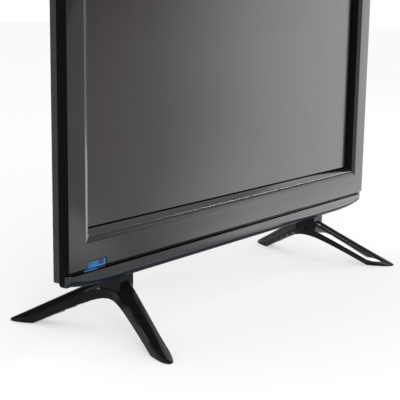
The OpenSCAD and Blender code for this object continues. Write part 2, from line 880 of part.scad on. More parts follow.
module foot_screws() {
    color("dimgray") for (x = [-neck_x, neck_x], s = [-1, 1]) {
        post(x + s * foot_screw_gap / 2, apex_d, foot_screw_r, foot_screw_z - eps,
             cover_z0 + socket_wall + bracket_h);
        post(x + s * foot_screw_gap / 2, apex_d, foot_head_r, foot_screw_z - foot_head_t, foot_screw_z);
    }
}

module foot_brackets() {
    z0 = cover_z0 + socket_wall;
    color("silver") for (x = [-neck_x, neck_x])
        difference() {
            slab(x - bracket_w / 2, x + bracket_w / 2, apex_d - neck_d / 2, apex_d + neck_d / 2,
                 z0, z0 + bracket_h);
            for (s = [-1, 1])
                post(x + s * foot_screw_gap / 2, apex_d, foot_screw_r + push,
                     z0 - eps, z0 + bracket_h + eps);
        }
}

// Screen module

module lcd_cell() {
    w = module_w / 2 - cell_gap;
    color([0.28, 0.28, 0.29])
        slab(-w, w, screen_d, ring_d0, module_z0 + cell_gap, module_z0 + module_h - cell_gap);
}

module panel_frame() {
    open_w = view_w / 2 + window_margin;
    wall_w = module_w / 2 - steel_t;
    color("silver") difference() {
        slab(-module_w / 2, module_w / 2, lip_d, tray_back, module_z0, module_z0 + module_h);
        slab(-open_w, open_w, lip_d - eps, screen_d + eps,
             view_z0 - window_margin, view_z0 + view_h + window_margin);
        slab(-wall_w, wall_w, screen_d, tray_back + eps,
             module_z0 + steel_t, module_z0 + module_h - steel_t);
    }
}

module middle_frame() {
    w = module_w / 2 - cell_gap;
    open_w = view_w / 2 + ring_in;
    color("white") difference() {
        slab(-w, w, ring_d0, tray_d, module_z0 + ring_low, module_z0 + module_h - cell_gap);
        slab(-open_w, open_w, ring_d0 - eps, tray_d + eps, view_z0 - ring_in, view_z0 + view_h + ring_in);
    }
}

module sheet(d, t, low) {
    slab(-sheet_w / 2, sheet_w / 2, d, d + t, view_cz - sheet_h / 2 + low, view_cz + sheet_h / 2);
}

module prism_sheet() {
    color([0.9, 0.9, 0.92]) sheet(prism_d, sheet_t, 0);
}

module diffuser_sheet() {
    color([0.95, 0.95, 0.95]) sheet(diffuser_d, sheet_t, 0);
}

module light_guide() {
    color([0.85, 0.92, 0.95]) sheet(guide_d, guide_t, strip_t + led_h);
}

module reflector_sheet() {
    color("white") sheet(reflector_d, sheet_t, 0);
}

module led_strip() {
    z0 = view_cz - sheet_h / 2;
    color("whitesmoke")
        slab(-sheet_w / 2 + strip_in, sheet_w / 2 - strip_in, guide_d, reflector_d, z0, z0 + strip_t);
}

module strip_leds() {
    z0 = view_cz - sheet_h / 2 + strip_t;
    pitch = sheet_w / led_count;
    color("lemonchiffon") for (i = [0:led_count - 1]) {
        x = (i - (led_count - 1) / 2) * pitch;
        slab(x - led_w / 2, x + led_w / 2, guide_d + led_gap, reflector_d - led_gap, z0, z0 + led_h);
    }
}

module back_tray() {
    w = module_w / 2 - cell_gap;
    color("lightgray") slab(-w, w, tray_d, tray_back, module_z0 + ring_low, module_z0 + module_h - cell_gap);
}

module source_board() {
    d = tray_back + flex_t;
    color("darkgreen") slab(-source_w / 2, source_w / 2, d, d + source_t, source_z0, source_z0 + source_h);
}

module panel_flexes() {
    z = module_z0 + cell_gap;
    pitch = source_w / flex_count;
    color("peru") for (i = [0:flex_count - 1]) {
        x = (i - (flex_count - 1) / 2) * pitch;
        slab(x - flex_w / 2, x + flex_w / 2, ring_d0, tray_back + flex_t, z, z + flex_t);
        slab(x - flex_w / 2, x + flex_w / 2, tray_back, tray_back + flex_t, z, source_z0 + source_h / 2);
    }
}

module lvds_ribbon() {
    d = tray_back + flex_t + source_t;
    x = main_x0 + ribbon_in;
    z = source_z0 + source_h - ribbon_lap;
    color("gainsboro") {
        slab(x - ribbon_w / 2, x + ribbon_w / 2, d, d + ribbon_t, source_z0 + ribbon_lap, z);
        slab(x - ribbon_w / 2, x + ribbon_w / 2, d, board_d, z - ribbon_t, z);
    }
}

// Boards

module board(x0, w, holes) {
    difference() {
        slab(x0, x0 + w, board_d, board_back, board_z0, board_z0 + board_h);
        for (p = holes)
            rod(p[0], p[1], board_screw_r + slip, board_d - eps, board_back + eps);
    }
}

module main_board() {
    color("darkgreen") board(main_x0, main_w, main_holes);
}

module power_board() {
    color("tan") board(power_x0, power_w, power_holes);
}

module board_standoffs() {
    color("silver") for (p = concat(main_holes, power_holes))
        difference() {
            rod(p[0], p[1], standoff_r, tray_back, board_d);
            rod(p[0], p[1], board_screw_r + push, tray_back + skin, board_d + eps);
        }
}

module board_screws() {
    color("silver") for (p = concat(main_holes, power_holes)) {
        rod(p[0], p[1], board_screw_r, tray_back + board_screw_tip, board_back + eps);
        rod(p[0], p[1], board_head_r, board_back, board_back + board_head_t);
    }
}

module processor() {
    color([0.1, 0.1, 0.1])
        slab(chip_x - chip / 2, chip_x + chip / 2, board_back, board_back + chip_t,
             chip_z - chip / 2, chip_z + chip / 2);
}

module heatsink() {
    d = board_back + chip_t;
    pitch = (sink - fin_t) / (fin_count - 1);
    color("silver") {
        slab(chip_x - sink / 2, chip_x + sink / 2, d, d + sink_base, chip_z - sink / 2, chip_z + sink / 2);
        for (i = [0:fin_count - 1])
            slab(chip_x - sink / 2 + i * pitch, chip_x - sink / 2 + i * pitch + fin_t,
                 d + sink_base - eps, d + sink_base + fin_h, chip_z - sink / 2, chip_z + sink / 2);
    }
}

module tuner_can() {
    color("silver") slab(coax_x - can_w / 2, coax_x + can_w / 2, board_back, board_back + can_t,
                         board_z0 + can_up, board_z0 + can_up + can_h);
}

module antenna_socket() {
    z0 = port_low_z - port_proud;
    z1 = board_z0 + can_up;
    color("silver") difference() {
        post(coax_x, coax_d, coax_r, z0, z1);
        post(coax_x, coax_d, coax_r - shell_t, z0 - eps, z1 - coax_floor);
    }
    color("goldenrod") post(coax_x, coax_d, coax_pin_r, z0 + coax_pin_in, z1 - coax_floor + eps);
}

// Open metal shell with a contact tongue, its mouth at z 0, running up
module shell_socket(w, t, l, tongue_w, tongue_t) {
    difference() {
        translate([-w / 2, 0, 0]) cube([w, t, l]);
        translate([-w / 2 + shell_t, shell_t, -eps]) cube([w - 2 * shell_t, t - 2 * shell_t, l - shell_t]);
    }
    translate([-tongue_w / 2, t / 2 - tongue_t / 2, tongue_in])
        cube([tongue_w, tongue_t, l - tongue_in - eps]);
}

module hdmi_sockets() {
    color("silver") {
        translate([hdmi_low_x, front_y + board_back, port_low_z])
            shell_socket(hdmi_w, hdmi_t, hdmi_l, hdmi_tongue_w, hdmi_tongue_t);
        translate([port_side_x, front_y + board_back, hdmi_side_z]) rotate([0, -90, 0])
            shell_socket(hdmi_w, hdmi_t, hdmi_l, hdmi_tongue_w, hdmi_tongue_t);
    }
}

module usb_socket() {
    color("silver") translate([port_side_x, front_y + board_back, usb_z]) rotate([0, -90, 0])
        shell_socket(usb_w, usb_t, usb_l, usb_tongue_w, usb_tongue_t);
}

module vga_socket() {
    color("royalblue") difference() {
        slab(vga_x - vga_w / 2, vga_x + vga_w / 2, board_back, board_back + vga_t,
             port_low_z, port_low_z + vga_l);
        slab(vga_x - vga_mouth_w / 2, vga_x + vga_mouth_w / 2, board_back + vga_rim,
             board_back + vga_t - vga_rim, port_low_z - eps, port_low_z + vga_mouth_l);
    }
}

module av_sockets() {
    body_z = port_low_z + cover_wall + rca_body_up;
    color([0.12, 0.12, 0.12]) for (i = [0:rca_count - 1]) {
        x = av_x + i * rca_pitch;
        d = board_back + rca_body / 2;
        difference() {
            union() {
                slab(x - rca_body / 2, x + rca_body / 2, board_back, board_back + rca_body,
                     body_z, port_low_z + rca_l);
                post(x, d, rca_r, port_low_z - port_proud, body_z + eps);
            }
            post(x, d, rca_bore_r, port_low_z - port_proud - eps, port_low_z + rca_bore_l);
        }
    }
}

module headphone_jack() {
    d = board_back + jack_w / 2;
    body_x = port_side_x - cover_wall - port_gap;
    color([0.12, 0.12, 0.12]) difference() {
        union() {
            slab(port_side_x - jack_l, body_x, board_back, board_back + jack_w,
                 jack_z - jack_w / 2, jack_z + jack_w / 2);
            bar(body_x - eps, port_side_x, d, jack_z, jack_r);
        }
        bar(port_side_x - jack_l + skin, port_side_x + eps, d, jack_z, jack_bore_r);
    }
}

module power_inlet() {
    x0 = -port_side_x;
    mouth_x = x0 + inlet_mouth_l;
    color([0.1, 0.1, 0.1]) difference() {
        slab(x0, x0 + inlet_l, board_back, board_back + inlet_t,
             inlet_z - inlet_w / 2, inlet_z + inlet_w / 2);
        for (s = [-1, 1])
            bar(x0 - eps, mouth_x, inlet_d, inlet_z + s * pin_gap / 2, inlet_mouth_r);
        slab(x0 - eps, mouth_x, inlet_d - inlet_waist / 2, inlet_d + inlet_waist / 2,
             inlet_z - pin_gap / 2, inlet_z + pin_gap / 2);
    }
    color("silver") for (s = [-1, 1])
        bar(x0 + pin_in, mouth_x + eps, inlet_d, inlet_z + s * pin_gap / 2, pin_r);
}

module transformer() {
    x = power_x0 + core_in;
    z0 = board_z0 + core_up - core_h / 2;
    color("gold")
        slab(x - core_w / 2, x + core_w / 2, board_back, board_back + core_base_t, z0, z0 + core_h);
    color([0.25, 0.22, 0.2])
        slab(x - core_neck / 2, x + core_neck / 2, board_back + core_base_t - eps, board_back + core_t,
             z0, z0 + core_h);
}

module bulk_capacitor() {
    z0 = board_z0 + cap_up;
    color([0.1, 0.12, 0.2]) post(power_x0 + cap_in, board_back + cap_r, cap_r, z0, z0 + cap_l);
}

module board_link() {
    z = board_z0 + link_up;
    x0 = power_x1 - link_in;
    x1 = main_x0 + link_in;
    d = board_back + link_t / 2;
    color("ivory") {
        slab(x0 - link_w, x0, board_back, board_back + link_t, z, z + link_h);
        slab(x1, x1 + link_w, board_back, board_back + link_t, z, z + link_h);
        slab(x0 - eps, x1 + eps, d, d + link_wire_t, z + link_wire_in, z + link_h - link_wire_in);
    }
}

// Speakers in the lower edge, facing the table

module speaker(x) {
    z0 = cover_z0 + cover_wall;
    difference() {
        slab(x - speaker_w / 2, x + speaker_w / 2, speaker_d0, speaker_d1, z0, z0 + speaker_h);
        for (s = [-1, 1])
            post(x + s * cone_x, (speaker_d0 + speaker_d1) / 2, cone_r + slip,
                 z0 - eps, z0 + cone_in + cone_h);
    }
}

module left_speaker() {
    color([0.12, 0.12, 0.13]) speaker(-speaker_x);
}

module right_speaker() {
    color([0.12, 0.12, 0.13]) speaker(speaker_x);
}

module speaker_cones() {
    z0 = cover_z0 + cover_wall;
    color([0.3, 0.3, 0.3]) for (x = [-speaker_x, speaker_x], s = [-1, 1])
        translate([x + s * cone_x, front_y + (speaker_d0 + speaker_d1) / 2, z0 + cone_in])
            cylinder(r1 = cone_r, r2 = cone_r / 2, h = cone_h);
}

// Keys

module key_board() {
    color("darkgreen") slab(switch_x0 - key_pcb_t, switch_x0, key_d - key_pcb_w / 2, key_d + key_pcb_w / 2,
                            key_z0 - key_pcb_over, key_z0 + key_pitch * (key_count - 1) + key_pcb_over);
}

module tact_switches() {
    color([0.15, 0.15, 0.15]) for (i = [0:key_count - 1]) {
        z = key_z0 + i * key_pitch;
        slab(switch_x0, switch_x1, key_d - switch_w / 2, key_d + switch_w / 2,
             z - switch_l / 2, z + switch_l / 2);
        bar(switch_x1 - eps, plunger_x1, key_d, z, plunger_r);
    }
}

module key(i) {
    z = key_z0 + i * key_pitch;
    color([0.08, 0.08, 0.08]) {
        slab(flange_x1 - eps, cover_x + key_proud, key_d - key_w / 2, key_d + key_w / 2,
             z - key_l / 2, z + key_l / 2);
        slab(flange_x0, flange_x1, key_d - key_w / 2 - flange_w, key_d + key_w / 2 + flange_w,
             z - key_l / 2 - flange_l, z + key_l / 2 + flange_l);
        slab(stem_x0, flange_x0 + eps, key_d - stem_w / 2, key_d + stem_w / 2,
             z - stem_w / 2, z + stem_w / 2);
    }
}

front_bezel();
chin_trim();
rear_cover();
rear_cover_screws();
ir_window();
ir_board();
ir_receiver();
standby_led();
left_foot();
right_foot();
foot_pads();
foot_screws();
foot_brackets();
lcd_cell();
panel_frame();
middle_frame();
prism_sheet();
diffuser_sheet();
light_guide();
reflector_sheet();
led_strip();
strip_leds();
back_tray();
source_board();
panel_flexes();
lvds_ribbon();
main_board();
processor();
heatsink();
tuner_can();
antenna_socket();
hdmi_sockets();
usb_socket();
av_sockets();
vga_socket();
headphone_jack();
power_board();
transformer();
bulk_capacitor();
power_inlet();
board_standoffs();
board_screws();
board_link();
left_speaker();
right_speaker();
speaker_cones();
key_board();
tact_switches();
key(0);  // key_power
key(1);  // key_source
key(2);  // key_menu
key(3);  // key_channel_up
key(4);  // key_channel_down
key(5);  // key_volume_up
key(6);  // key_volume_down
vesa_inserts();
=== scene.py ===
"""Looks of the small flat-screen television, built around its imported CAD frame."""
import json
import math

import bpy
from mathutils import Matrix, Vector


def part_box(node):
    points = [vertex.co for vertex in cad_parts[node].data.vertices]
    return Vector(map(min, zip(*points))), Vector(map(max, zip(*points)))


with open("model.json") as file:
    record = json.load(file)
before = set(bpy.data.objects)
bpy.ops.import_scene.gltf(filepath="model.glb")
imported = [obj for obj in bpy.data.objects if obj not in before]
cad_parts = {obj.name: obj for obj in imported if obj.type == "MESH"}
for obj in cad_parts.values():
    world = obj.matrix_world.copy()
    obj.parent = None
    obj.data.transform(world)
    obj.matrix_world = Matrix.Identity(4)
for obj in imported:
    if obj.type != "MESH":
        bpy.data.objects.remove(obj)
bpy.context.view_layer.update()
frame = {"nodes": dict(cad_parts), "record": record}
nodes = frame["nodes"]
FRONT_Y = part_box("front_bezel")[0].y

# Picture area of the screen, in metres; a black border runs round it to the edge of the bezel's opening,
# partly the panel's own border and partly painted shade of the gap under the bezel's lip
ACTIVE_W = 0.4046
ACTIVE_H = 0.2276
PICTURE_DARK = (0.010, 0.005, 0.0065)
PICTURE_SPECULAR = 0.5
BORDER_BLACK_AND_GAP_SHADE = (0.002, 0.002, 0.002)

# Shares of the blue window's width and height: where the remote receiver shows through it, the height above
# which that shows, the band of painted shade between the window's face and the lip under it, where painted
# shade begins to come over the lip, and how fast it then comes down over it
EYE_DARK = (0.60, 0.84)
EYE_LOW = 0.365
EYE_SHADE_BAND = (0.09, 0.249)
LIP_SHADE_START = 0.5
LIP_SHADE_FALL = 0.6
# The window's colours, and how much its width counts beside its height in the deepening of the blue
EYE_PALE = (0.016, 0.09, 0.21)
EYE_DEEP = (0.001, 0.148, 0.45)
EYE_SLANT = 0.7
EYE_SPECULAR = 0.2
RECEIVER_DARK = (0.022, 0.025, 0.085, 1)
EDGE_PAINTED_SHADE = (0.001, 0.003, 0.01, 1)

# Where most values of a noise lie; in a plain finish, how much finer the roughness varies than the tone, and
# between which shares of its value
NOISE_MIDDLE = (0.3, 0.7)
ROUGH_FINER = 2.3
ROUGH_SHARES = (0.85, 1.15)

# Limits on the normal that tell faces apart: the bezel's front and the slope under the screen; the chin's lower
# edge, its ends, top and back; the hollow, ridge and chamfer of a leg
BEZEL_FRONT = -0.75
SLOPE_UP, SLOPE_FRONT = 0.5, -0.2
CHIN_UNDER, CHIN_END, CHIN_TOP, CHIN_BACK = -0.24, 0.6, 0.8, 0.5
HOLLOW_OUT, HOLLOW_UP, RIDGE_UP = 0.6, 0.05, 0.83
CHAMFER_IN, CHAMFER_LOW, CHAMFER_HIGH = 0.45, 0.28, 0.58
# Slice of a leg along Y that gives its height, in metres, and the share of that height under the ridge
LEG_SLICE = 0.004
CHAMFER_TOP = 0.615

# Width in metres of the rounding on the edges of the larger mouldings, its steps, and the least angle in
# degrees of an edge that it takes
ROUNDED = {"front_bezel": 0.0004, "chin_trim": 0.0005}
ROUNDED_STEPS = 2
ROUNDED_ANGLE = 20
# Distance in metres within which corners are joined, and the angles in degrees below which faces count as one
# flat face or are shaded smooth
JOIN_DISTANCE = 1e-6
FLAT_ANGLE = 0.3
SMOOTH_ANGLE = 15
FOOT_SMOOTH_ANGLE = 17

# Floor: half its width in metres, its grey and roughness, and how far it is lifted to the background's white
FLOOR_HALF = 40.0
FLOOR_GREY = (0.93, 0.93, 0.93, 1)
FLOOR_ROUGH = 0.9
FLOOR_LIFT = 0.5
# Direction in which the studio is dimmer, the cosines to it where that begins and is complete, and by how much
DIM_SIDE = (0.495, -0.858, 0.139)
DIM_RANGE = (0.829, 0.970)
DIM_SHARE = 0.6

# The photograph's camera: pan, tilt and roll in degrees, place in metres with Y from the bezel's face, and its
# sensor and lens in millimetres
CAMERA_TURN = (53.33, 10.72, 0.85)
CAMERA_PLACE = (-0.71382, -0.47869, 0.25145)
CAMERA_SENSOR = 36.0
CAMERA_LENS = 85.63
CAMERA_NEAR = 0.01

# Sockets of a mix node for colours
MIX_A, MIX_B, MIX_RESULT = 6, 7, 2


# Shader helpers

def new_material(name):
    """A material with an empty Principled shader, its node tree and the shader."""
    mat = bpy.data.materials.new(name)
    mat.use_nodes = True
    tree = mat.node_tree
    return mat, tree, tree.nodes["Principled BSDF"]


def part_coords(tree):
    """The part's own coordinates."""
    return tree.nodes.new("ShaderNodeTexCoord").outputs["Object"]


def axes_of(tree, vector):
    """The three parts of a vector, by the names of their axes."""
    split = tree.nodes.new("ShaderNodeSeparateXYZ")
    tree.links.new(vector, split.inputs[0])
    return split.outputs


def noise(tree, scale, detail=2.0, stretch=None):
    """Noise in the part's own coordinates, in cells per metre, drawn out where stretch is given."""
    coords = part_coords(tree)
    if stretch:
        mapping = tree.nodes.new("ShaderNodeMapping")
        mapping.inputs["Scale"].default_value = stretch
        tree.links.new(coords, mapping.inputs["Vector"])
        coords = mapping.outputs["Vector"]
    tex = tree.nodes.new("ShaderNodeTexNoise")
    tex.inputs["Scale"].default_value = scale
    tex.inputs["Detail"].default_value = detail
    tree.links.new(coords, tex.inputs["Vector"])
    return tex.outputs["Fac"]


def spread(tree, fac, low, high):
    """Maps a noise's middle range onto low to high."""
    node = tree.nodes.new("ShaderNodeMapRange")
    node.inputs["From Min"].default_value = NOISE_MIDDLE[0]
    node.inputs["From Max"].default_value = NOISE_MIDDLE[1]
    node.inputs["To Min"].default_value = low
    node.inputs["To Max"].default_value = high
    tree.links.new(fac, node.inputs["Value"])
    return node.outputs["Result"]


def ramp(tree, value, start, end):
    """Smooth rise from 0 at the start to 1 at the end."""
    node = tree.nodes.new("ShaderNodeMapRange")
    node.interpolation_type = "SMOOTHSTEP"
    node.inputs["From Min"].default_value = start
    node.inputs["From Max"].default_value = end
    tree.links.new(value, node.inputs["Value"])
    return node.outputs["Result"]


def tint(tree, fac, dark, light, low=NOISE_MIDDLE[0], high=NOISE_MIDDLE[1]):
    """Colour between two by a value."""
    node = tree.nodes.new("ShaderNodeValToRGB")
    node.color_ramp.elements[0].position = low
    node.color_ramp.elements[0].color = (*dark, 1)
    node.color_ramp.elements[1].position = high
    node.color_ramp.elements[1].color = (*light, 1)
    tree.links.new(fac, node.inputs["Fac"])
    return node.outputs["Color"]


def math_node(tree, operation, a, b):
    """A maths node on two values, each a socket or a number."""
    node = tree.nodes.new("ShaderNodeMath")
    node.operation = operation
    for value, socket in zip((a, b), node.inputs):
        if isinstance(value, bpy.types.NodeSocket):
            tree.links.new(value, socket)
        else:
            socket.default_value = value
    return node.outputs[0]


def inside_of(tree, value, limits):
    """1 where the value lies between the two limits, and 0 elsewhere."""
    return math_node(tree, "MULTIPLY", math_node(tree, "GREATER_THAN", value, limits[0]),
                     math_node(tree, "LESS_THAN", value, limits[1]))


def share_of(tree, value, low, high):
    """Where a value lies from low to high, as a share."""
    return math_node(tree, "DIVIDE", math_node(tree, "SUBTRACT", value, low), high - low)


def bump(tree, shader, height, strength, distance):
    """Relief by a height, with its depth in metres."""
    node = tree.nodes.new("ShaderNodeBump")
    node.inputs["Strength"].default_value = strength
    node.inputs["Distance"].default_value = distance
    tree.links.new(height, node.inputs["Height"])
    tree.links.new(node.outputs["Normal"], shader.inputs["Normal"])


# Materials

def surface(name, colour, rough, vary=0.12, tone_scale=60, grain_scale=2500, grain=0.1, depth=0.00005,
            metal=0.0, specular=0.5, stretch=None):
    """A moulded, plated or painted surface: tone and roughness vary slowly, a fine grain is in the bump."""
    mat, tree, bsdf = new_material(name)
    dark = tuple(c * (1 - vary) for c in colour)
    light = tuple(min(1, c * (1 + vary)) for c in colour)
    tone = noise(tree, tone_scale, detail=4, stretch=stretch)
    tree.links.new(tint(tree, tone, dark, light), bsdf.inputs["Base Color"])
    wear = noise(tree, tone_scale * ROUGH_FINER, detail=3, stretch=stretch)
    low, high = (rough * share for share in ROUGH_SHARES)
    tree.links.new(spread(tree, wear, low, high), bsdf.inputs["Roughness"])
    bsdf.inputs["Metallic"].default_value = metal
    bsdf.inputs["Specular IOR Level"].default_value = specular
    bump(tree, bsdf, noise(tree, grain_scale), strength=grain, distance=depth)
    return mat


def screen_surface():
    """Satin panel with fine sparkle; outside the picture area it is black and hardly reflects, partly the
    panel's own border and partly painted shade of the gap under the bezel's lip.
    """
    mat, tree, bsdf = new_material("screen_glass")
    low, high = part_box("lcd_cell")
    axes = axes_of(tree, part_coords(tree))
    across = math_node(tree, "ABSOLUTE", axes["X"], 0)
    up = math_node(tree, "SUBTRACT", axes["Z"], (low.z + high.z) / 2)
    inside = math_node(tree, "MULTIPLY", math_node(tree, "LESS_THAN", across, ACTIVE_W / 2),
                       math_node(tree, "LESS_THAN", math_node(tree, "ABSOLUTE", up, 0), ACTIVE_H / 2))
    mottle = spread(tree, noise(tree, scale=25, detail=3), low=0.9, high=1.0)
    tone = math_node(tree, "MULTIPLY", inside, mottle)
    # Black border without reflection: the panel's own border, with painted shade of the gap under the bezel's
    # lip
    tree.links.new(tint(tree, tone, BORDER_BLACK_AND_GAP_SHADE, PICTURE_DARK, low=0, high=1), bsdf.inputs["Base Color"])
    specular = math_node(tree, "MULTIPLY", inside, PICTURE_SPECULAR)
    tree.links.new(specular, bsdf.inputs["Specular IOR Level"])
    rough = spread(tree, noise(tree, scale=40, detail=3), low=0.19, high=0.22)
    tree.links.new(rough, bsdf.inputs["Roughness"])
    bump(tree, bsdf, noise(tree, scale=6000, detail=1), strength=0.05, distance=0.00002)
    return mat


def window_surface():
    """Clear blue plastic; the dark receiver shows through one part of it, and painted shade lies in a dark band
    over its lip.
    """
    mat, tree, bsdf = new_material("window_blue")
    low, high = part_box("ir_window")
    axes = axes_of(tree, part_coords(tree))
    along = share_of(tree, axes["X"], low.x, high.x)
    height = share_of(tree, axes["Z"], low.z, high.z)
    # Deeper blue towards the right and the lower edge; the noise also lifts the value into the ramp's range
    depth = math_node(tree, "SUBTRACT", math_node(tree, "MULTIPLY", along, EYE_SLANT), height)
    mottle = spread(tree, noise(tree, scale=500, detail=3), low=0.8, high=0.9)
    depth = math_node(tree, "ADD", depth, mottle)
    colour = tint(tree, depth, EYE_PALE, EYE_DEEP, low=0.5, high=0.9)
    receiver = math_node(tree, "MULTIPLY", inside_of(tree, along, EYE_DARK),
                         math_node(tree, "GREATER_THAN", height, EYE_LOW))
    # Painted shade: a dark band where the window's face steps back to the lip, coming lower over the lip
    # towards the right
    beyond = math_node(tree, "MAXIMUM", math_node(tree, "SUBTRACT", along, LIP_SHADE_START), 0)
    shade_band_low = math_node(tree, "SUBTRACT", EYE_SHADE_BAND[0], math_node(tree, "MULTIPLY", beyond, LIP_SHADE_FALL))
    shade_band = inside_of(tree, height, (shade_band_low, EYE_SHADE_BAND[1]))
    for share, dark in ((receiver, RECEIVER_DARK), (shade_band, EDGE_PAINTED_SHADE)):
        mix = tree.nodes.new("ShaderNodeMix")
        mix.data_type = "RGBA"
        tree.links.new(share, mix.inputs["Factor"])
        tree.links.new(colour, mix.inputs[MIX_A])
        mix.inputs[MIX_B].default_value = dark
        colour = mix.outputs[MIX_RESULT]
    tree.links.new(colour, bsdf.inputs["Base Color"])
    rough = spread(tree, noise(tree, scale=300, detail=3), low=0.08, high=0.14)
    tree.links.new(rough, bsdf.inputs["Roughness"])
    bsdf.inputs["Specular IOR Level"].default_value = EYE_SPECULAR
    bump(tree, bsdf, noise(tree, scale=900), strength=0.05, distance=0.00003)
    return mat


# Colour and roughness of each plain finish, and what else sets it apart
FINISHES = {
    "bezel_gloss": ((0.007, 0.007, 0.008), 0.10, {"grain_scale": 900, "grain": 0.02, "specular": 0.42}),
    "chin_gloss": ((0.006, 0.007, 0.009), 0.12, {"grain_scale": 900, "grain": 0.02, "specular": 0.42}),
    "cover_black": ((0.016, 0.016, 0.018), 0.5, {"grain_scale": 1800, "grain": 0.35, "specular": 0.3}),
    "foot_gloss": ((0.007, 0.007, 0.0085), 0.10, {"grain_scale": 700, "grain": 0.02, "specular": 0.09}),
    "pad_rubber": ((0.03, 0.03, 0.03), 0.85, {"grain": 0.3}),
    "zinc_steel": ((0.6, 0.61, 0.62), 0.35, {"metal": 1.0}),
    "black_steel": ((0.04, 0.04, 0.042), 0.4, {"metal": 0.6}),
    "frame_white": ((0.8, 0.8, 0.78), 0.5, {}),
    "film_white": ((0.85, 0.85, 0.85), 0.3, {}),
    "guide_clear": ((0.8, 0.88, 0.9), 0.08, {}),
    "strip_white": ((0.82, 0.82, 0.77), 0.4, {}),
    "board_green": ((0.015, 0.11, 0.035), 0.35, {"vary": 0.25, "tone_scale": 300}),
    "board_tan": ((0.4, 0.26, 0.1), 0.5, {"vary": 0.2, "tone_scale": 300}),
    "flex_amber": ((0.42, 0.2, 0.03), 0.3, {}),
    "cable_white": ((0.75, 0.75, 0.7), 0.5, {}),
    "part_black": ((0.02, 0.02, 0.021), 0.42, {"grain_scale": 3000, "grain": 0.2}),
    "led_red": ((0.45, 0.01, 0.01), 0.15, {}),
    "sink_aluminium": ((0.72, 0.73, 0.74), 0.3, {"metal": 1.0}),
    "socket_metal": ((0.66, 0.66, 0.67), 0.22, {"metal": 1.0}),
    "socket_blue": ((0.02, 0.05, 0.4), 0.4, {}),
    "core_yellow": ((0.5, 0.38, 0.04), 0.4, {}),
    "capacitor_sleeve": ((0.01, 0.015, 0.06), 0.2, {}),
    "cone_paper": ((0.05, 0.05, 0.05), 0.8, {"grain": 0.4}),
    "key_black": ((0.02, 0.02, 0.021), 0.35, {"grain": 0.15}),
    "insert_brass": ((0.7, 0.48, 0.17), 0.3, {"metal": 1.0}),
    # For some faces of a node only, lit and shaded copies of the gloss finishes. The first is drawn in the
    # mould along its length and is painted shade that hardly reflects; then come a painted dark reflection, a
    # painted sheen, painted shade and a painted highlight
    "side_streaks_and_shade": ((0.002, 0.002, 0.0025), 0.16, {"grain_scale": 700, "grain": 0.02, "specular": 0.03,
                                                  "tone_scale": 300, "stretch": (1, 1, 0.05)}),
    # Painted dark reflection: navy and hardly reflecting, on the chin's downward faces
    "under_painted_reflection": ((0.011, 0.014, 0.023), 0.30, {"grain_scale": 1800, "grain": 0.2, "specular": 0.01}),
    # The feet's plastic with more or less reflection: painted sheen, painted shade and a painted highlight
    "ridge_painted_sheen": ((0.006, 0.006, 0.007), 0.12, {"grain_scale": 700, "grain": 0.02, "specular": 0.42}),
    "hollow_painted_shade": ((0.006, 0.006, 0.007), 0.30, {"grain_scale": 700, "grain": 0.02, "specular": 0.01}),
    "chamfer_painted_highlight": ((0.003, 0.003, 0.004), 0.08, {"grain_scale": 700, "grain": 0.02, "specular": 1.0}),
}
materials = {name: surface(name, colour, rough, **more) for name, (colour, rough, more) in FINISHES.items()}
materials["screen_glass"] = screen_surface()
materials["window_blue"] = window_surface()
for part in frame["record"]["subparts"]:
    data = nodes[part["node"]].data
    data.materials.clear()
    data.materials.append(materials[part["material_slot"]])


# Other finishes on some faces of a node

def finish_faces(node, finish, chosen):
    """Another finish on the chosen faces of a node, by their normal and centre."""
    data = nodes[node].data
    data.materials.append(materials[finish])
    index = len(data.materials) - 1
    for face in data.polygons:
        if chosen(face.normal, face.center):
            face.material_index = index


def leg_share(node, centre):
    """How high a point lies on its leg, from 0 at the underside to 1 at the ridge."""
    near = [v.co.z for v in nodes[node].data.vertices if abs(v.co.y - centre.y) < LEG_SLICE]
    return (centre.z - min(near)) / (max(near) - min(near))


# Painted shade: the bezel's sides, the slopes beside the screen and the chin's top and back are deep black and
# hardly reflect; the chin's lower edge is dull and navy, a painted dark reflection
finish_faces("front_bezel", "side_streaks_and_shade",
             lambda n, c: n.y > BEZEL_FRONT and not (n.z > SLOPE_UP and n.y < SLOPE_FRONT))
finish_faces("chin_trim", "under_painted_reflection", lambda n, c: n.z < CHIN_UNDER and abs(n.x) < CHIN_END)
finish_faces("chin_trim", "side_streaks_and_shade", lambda n, c: n.z > CHIN_TOP or n.y > CHIN_BACK)
# Lit and shaded copies of the feet's plastic: the legs' rounded ridge and the ledge under it are polished, a
# painted sheen, and the hollow between them is dull, painted shade; the chamfer along the inner side of each
# front leg is polished most, a painted highlight
for foot, outer in (("left_foot", -1), ("right_foot", 1)):
    finish_faces(foot, "hollow_painted_shade",
                 lambda n, c: n.x * outer > HOLLOW_OUT and HOLLOW_UP < n.z < RIDGE_UP)
    finish_faces(foot, "ridge_painted_sheen", lambda n, c: n.z > RIDGE_UP)
    finish_faces(foot, "chamfer_painted_highlight",
                 lambda n, c: n.x * outer < -CHAMFER_IN and CHAMFER_LOW < n.z < CHAMFER_HIGH and n.y < 0
                 and leg_share(foot, c) < CHAMFER_TOP)


# Edges and shading of the CAD nodes

def node_group(name):
    """An empty geometry group with its input and output."""
    group = bpy.data.node_groups.new(name, "GeometryNodeTree")
    group.interface.new_socket("Geometry", in_out="INPUT", socket_type="NodeSocketGeometry")
    group.interface.new_socket("Geometry", in_out="OUTPUT", socket_type="NodeSocketGeometry")
    return group, group.nodes.new("NodeGroupInput"), group.nodes.new("NodeGroupOutput")


def chain(group, *steps):
    """Links the geometry through the steps in order."""
    for before, after in zip(steps, steps[1:]):
        group.links.new(before.outputs[0], after.inputs[0])


